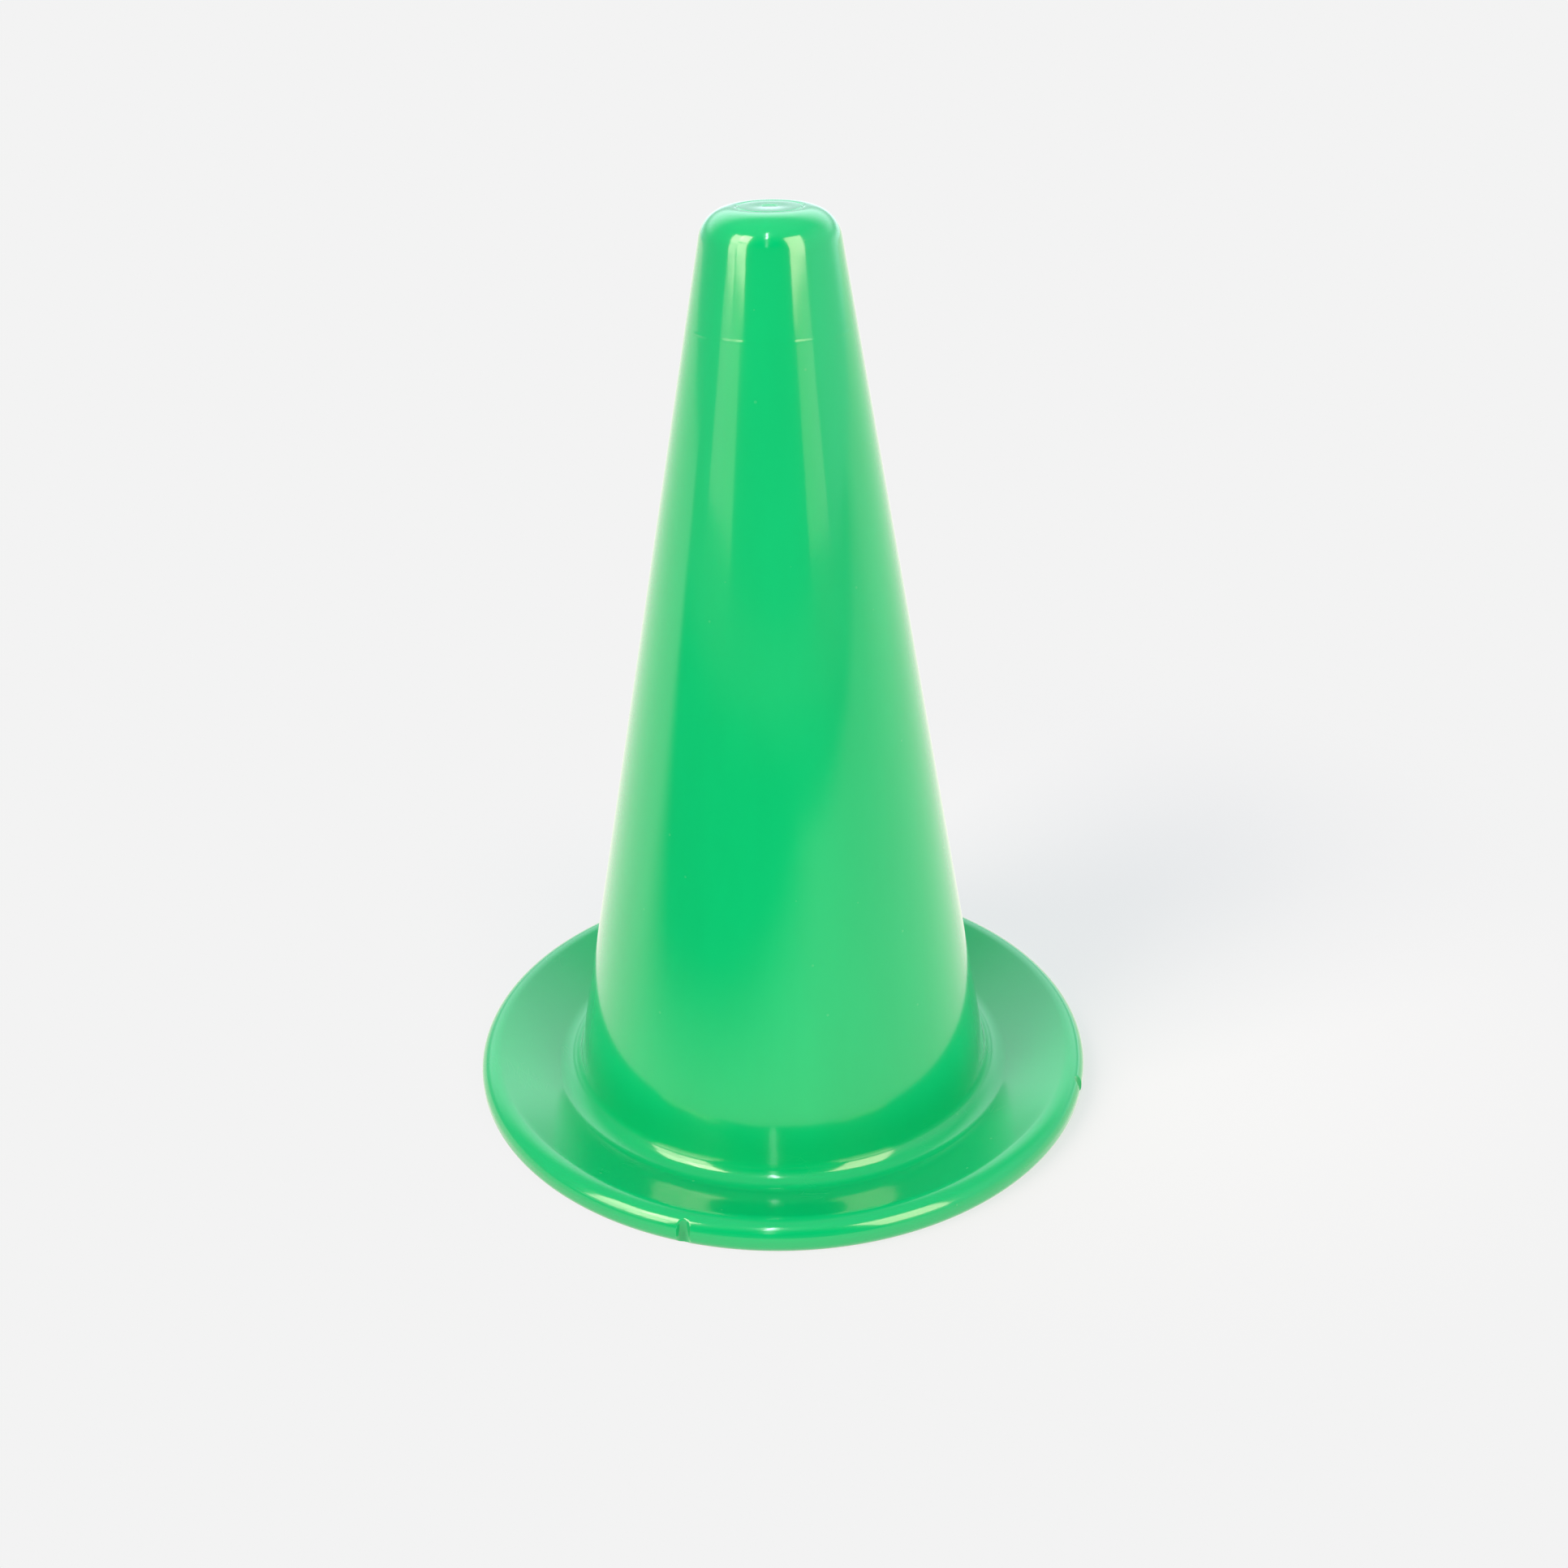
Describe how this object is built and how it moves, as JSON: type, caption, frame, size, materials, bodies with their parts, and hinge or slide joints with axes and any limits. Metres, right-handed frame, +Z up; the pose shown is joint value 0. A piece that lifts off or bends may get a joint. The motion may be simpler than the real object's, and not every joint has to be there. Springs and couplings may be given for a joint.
{
  "type": "training cone",
  "caption": "Small hollow training cone moulded in one piece, with a rounded flat tip, a dished round brim and a rolled lip. Marks out drills on a pitch or in a gym.",
  "frame": {"origin": "on the floor, under the cone's axis", "axes": "+Z up along the cone's axis, -Y towards the viewer of the picture, +X to the viewer's right"},
  "size_m": [0.14, 0.14, 0.193],
  "materials": {
    "cone_moulding": "glossy green moulded polyethylene"
  },
  "bodies": {
    "root": {"cone_moulding": "cone_moulding"}
  },
  "joints": []
}
